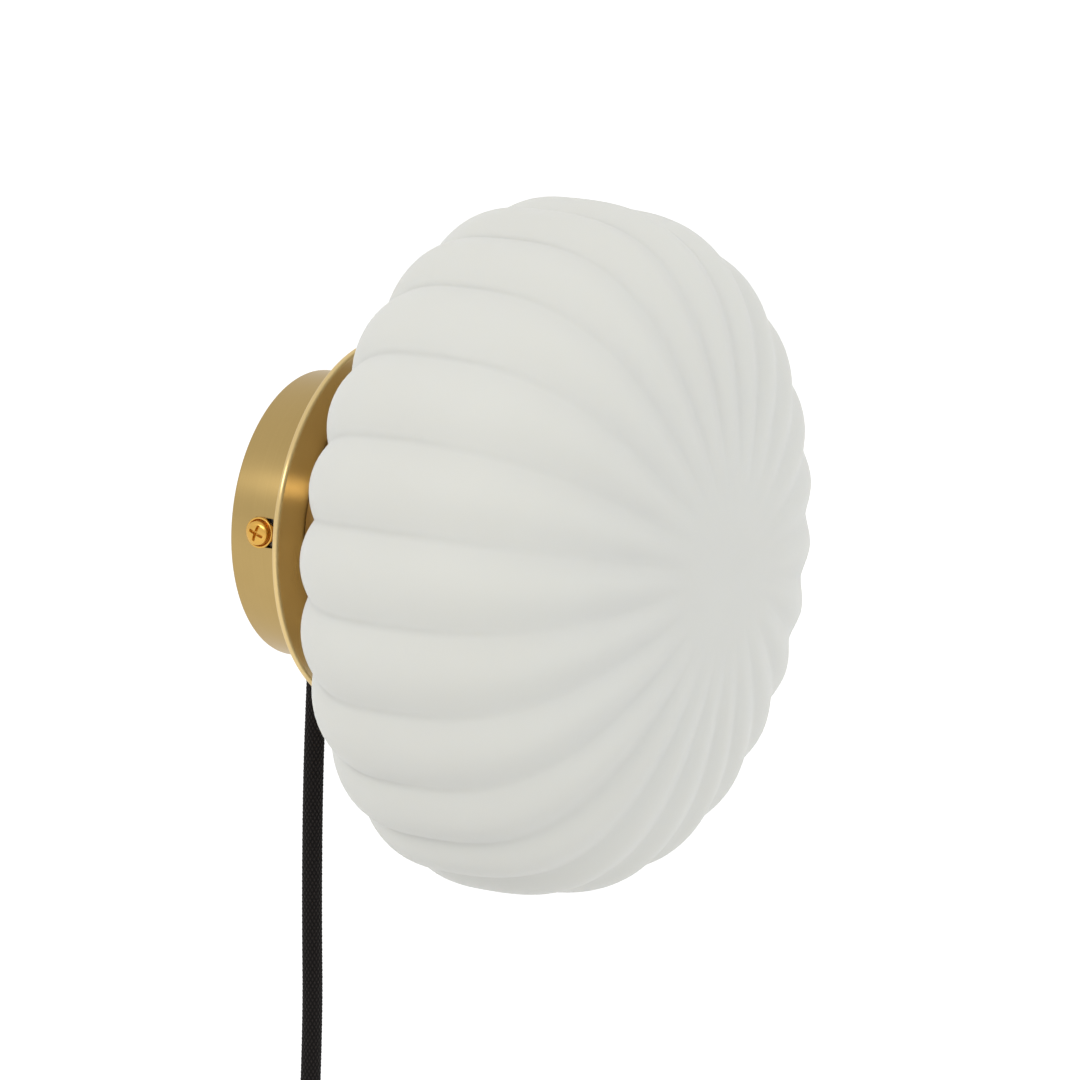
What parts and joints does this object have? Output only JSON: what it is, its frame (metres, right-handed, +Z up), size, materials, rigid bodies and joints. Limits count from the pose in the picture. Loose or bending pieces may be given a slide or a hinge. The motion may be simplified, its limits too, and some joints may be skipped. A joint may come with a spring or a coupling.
{
  "type": "wall sconce",
  "caption": "Wall lamp with a ribbed, flattened round opal glass shade on a brass wall cup, with a textile covered cord, an in-line switch and a plug.",
  "frame": {"origin": "middle of the wall cup's back on the wall, between its two wall screw slots", "axes": "+Y into the wall, -Y into the room along the lamp's axis, +X to the right seen from the room, +Z up"},
  "size_m": [0.2005, 0.1394, 0.5252],
  "materials": {
    "brass": "polished and lacquered",
    "zinc_steel": "zinc plated",
    "brass_screw": "polished",
    "opal_glass": "glossy opal",
    "silicone": "clear silicone",
    "porcelain": "unglazed",
    "lamp_plastic": "white",
    "lamp_frost": "frosted",
    "nickel": "nickel plated",
    "black_rubber": "matt",
    "white_nylon": "matt",
    "grey_plastic": "matt",
    "core_insulation": "matt",
    "lead_insulation": "silicone and glass fibre",
    "braid": "braided black cotton",
    "black_plastic": "fine matt",
    "black_gloss": "glossy",
    "hook_tape": "hook and loop tape"
  },
  "bodies": {
    "lamp": {"wall_cup": "brass", "front_plate": "brass", "inner_collar": "zinc_steel", "collar_nuts": "zinc_steel", "side_screws": "brass_screw", "side_washers": "brass_screw", "shade_ring": "brass", "ring_screws": "zinc_steel", "nipple": "zinc_steel", "nipple_nuts": "zinc_steel", "holder_bracket": "zinc_steel", "lampholder": "porcelain", "holder_screws": "zinc_steel", "cord_bush": "black_rubber", "cord_clamp": "white_nylon", "clamp_screws": "zinc_steel", "terminal_block": "grey_plastic", "terminal_levers": "white_nylon", "cord_cores": "core_insulation", "holder_leads": "lead_insulation", "cord_upper": "braid", "switch_base": "black_plastic", "switch_cover": "black_plastic", "switch_screws": "zinc_steel", "rocker_axle": "zinc_steel", "cord_link": "braid", "cord_coil": "braid", "coil_tie": "hook_tape", "cord_tail": "braid", "plug_body": "black_plastic", "plug_sleeve": "black_rubber", "mains_pins": "nickel", "pin_guards": "black_plastic"},
    "gasket": {"gasket": "silicone"},
    "shade": {"glass_shade": "opal_glass"},
    "bulb": {"bulb_base": "lamp_plastic", "bulb_cover": "lamp_frost", "bulb_pins": "nickel"},
    "rocker": {"switch_rocker": "black_gloss"}
  },
  "joints": [
    {"name": "shade_turn", "type": "hinge", "parent": "lamp", "child": "gasket", "pos_m": [0, -0.0257, 0], "axis": [0, -1, 0], "range_deg": [0, 360]},
    {"name": "shade_off", "type": "slide", "parent": "gasket", "child": "shade", "axis": [0, -1, 0], "range_m": [0, 0.12]},
    {"name": "bulb_pull", "type": "slide", "parent": "lamp", "child": "bulb", "axis": [0, -1, 0], "range_m": [0, 0.02]},
    {"name": "rocker_tip", "type": "hinge", "parent": "lamp", "child": "rocker", "pos_m": [0, -0.014, -0.223], "axis": [1, 0, 0], "range_deg": [0, 16]}
  ]
}
